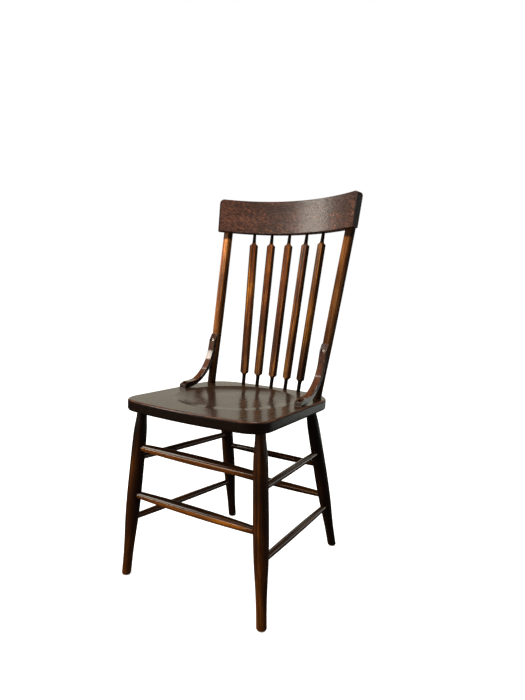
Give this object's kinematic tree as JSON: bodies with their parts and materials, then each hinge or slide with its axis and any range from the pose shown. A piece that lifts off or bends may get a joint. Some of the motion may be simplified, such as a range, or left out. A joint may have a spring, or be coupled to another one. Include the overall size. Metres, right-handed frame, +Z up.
{
  "type": "dining chair",
  "caption": "Dark stained wooden dining side chair: dished board seat, turned legs with stretchers, raked spindle back, bent crest rail and bentwood hip brackets.",
  "frame": {"origin": "on the floor, under the middle of the chair's bounding box", "axes": "+Z up, the front of the chair faces -Y, +X to the right as seen from the front"},
  "size_m": [0.4414, 0.4966, 0.9791],
  "materials": {
    "seat_wood": "dark walnut-stained oak, worn satin varnish",
    "crest_wood": "dark red-brown stained oak with ray flecks, satin varnish",
    "post_wood": "warm brown stained hardwood, worn gloss varnish",
    "spindle_wood": "warm brown stained hardwood, worn gloss varnish",
    "bracket_wood": "red-brown stained bentwood, worn gloss varnish",
    "leg_wood": "very dark brown stained hardwood, gloss varnish",
    "stretcher_wood": "dark brown stained hardwood, worn gloss varnish",
    "screw_metal": "aged bright steel, slightly tarnished",
    "foot_pad": "pale cream felt"
  },
  "bodies": {
    "root": {"back_post_left": "post_wood", "back_post_right": "post_wood", "bracket_screws": "screw_metal", "crest_rail": "crest_wood", "crest_screws": "screw_metal", "foot_pad_front_left": "foot_pad", "foot_pad_front_right": "foot_pad", "foot_pad_rear_left": "foot_pad", "foot_pad_rear_right": "foot_pad", "hip_bracket_left": "bracket_wood", "hip_bracket_right": "bracket_wood", "leg_front_left": "leg_wood", "leg_front_right": "leg_wood", "leg_rear_left": "leg_wood", "leg_rear_right": "leg_wood", "seat": "seat_wood", "spindle_1": "spindle_wood", "spindle_2": "spindle_wood", "spindle_3": "spindle_wood", "spindle_4": "spindle_wood", "spindle_5": "spindle_wood", "stretcher_front_lower": "stretcher_wood", "stretcher_front_upper": "stretcher_wood", "stretcher_left_lower": "stretcher_wood", "stretcher_left_upper": "stretcher_wood", "stretcher_rear_lower": "stretcher_wood", "stretcher_rear_upper": "stretcher_wood", "stretcher_right_lower": "stretcher_wood", "stretcher_right_upper": "stretcher_wood"}
  },
  "joints": []
}
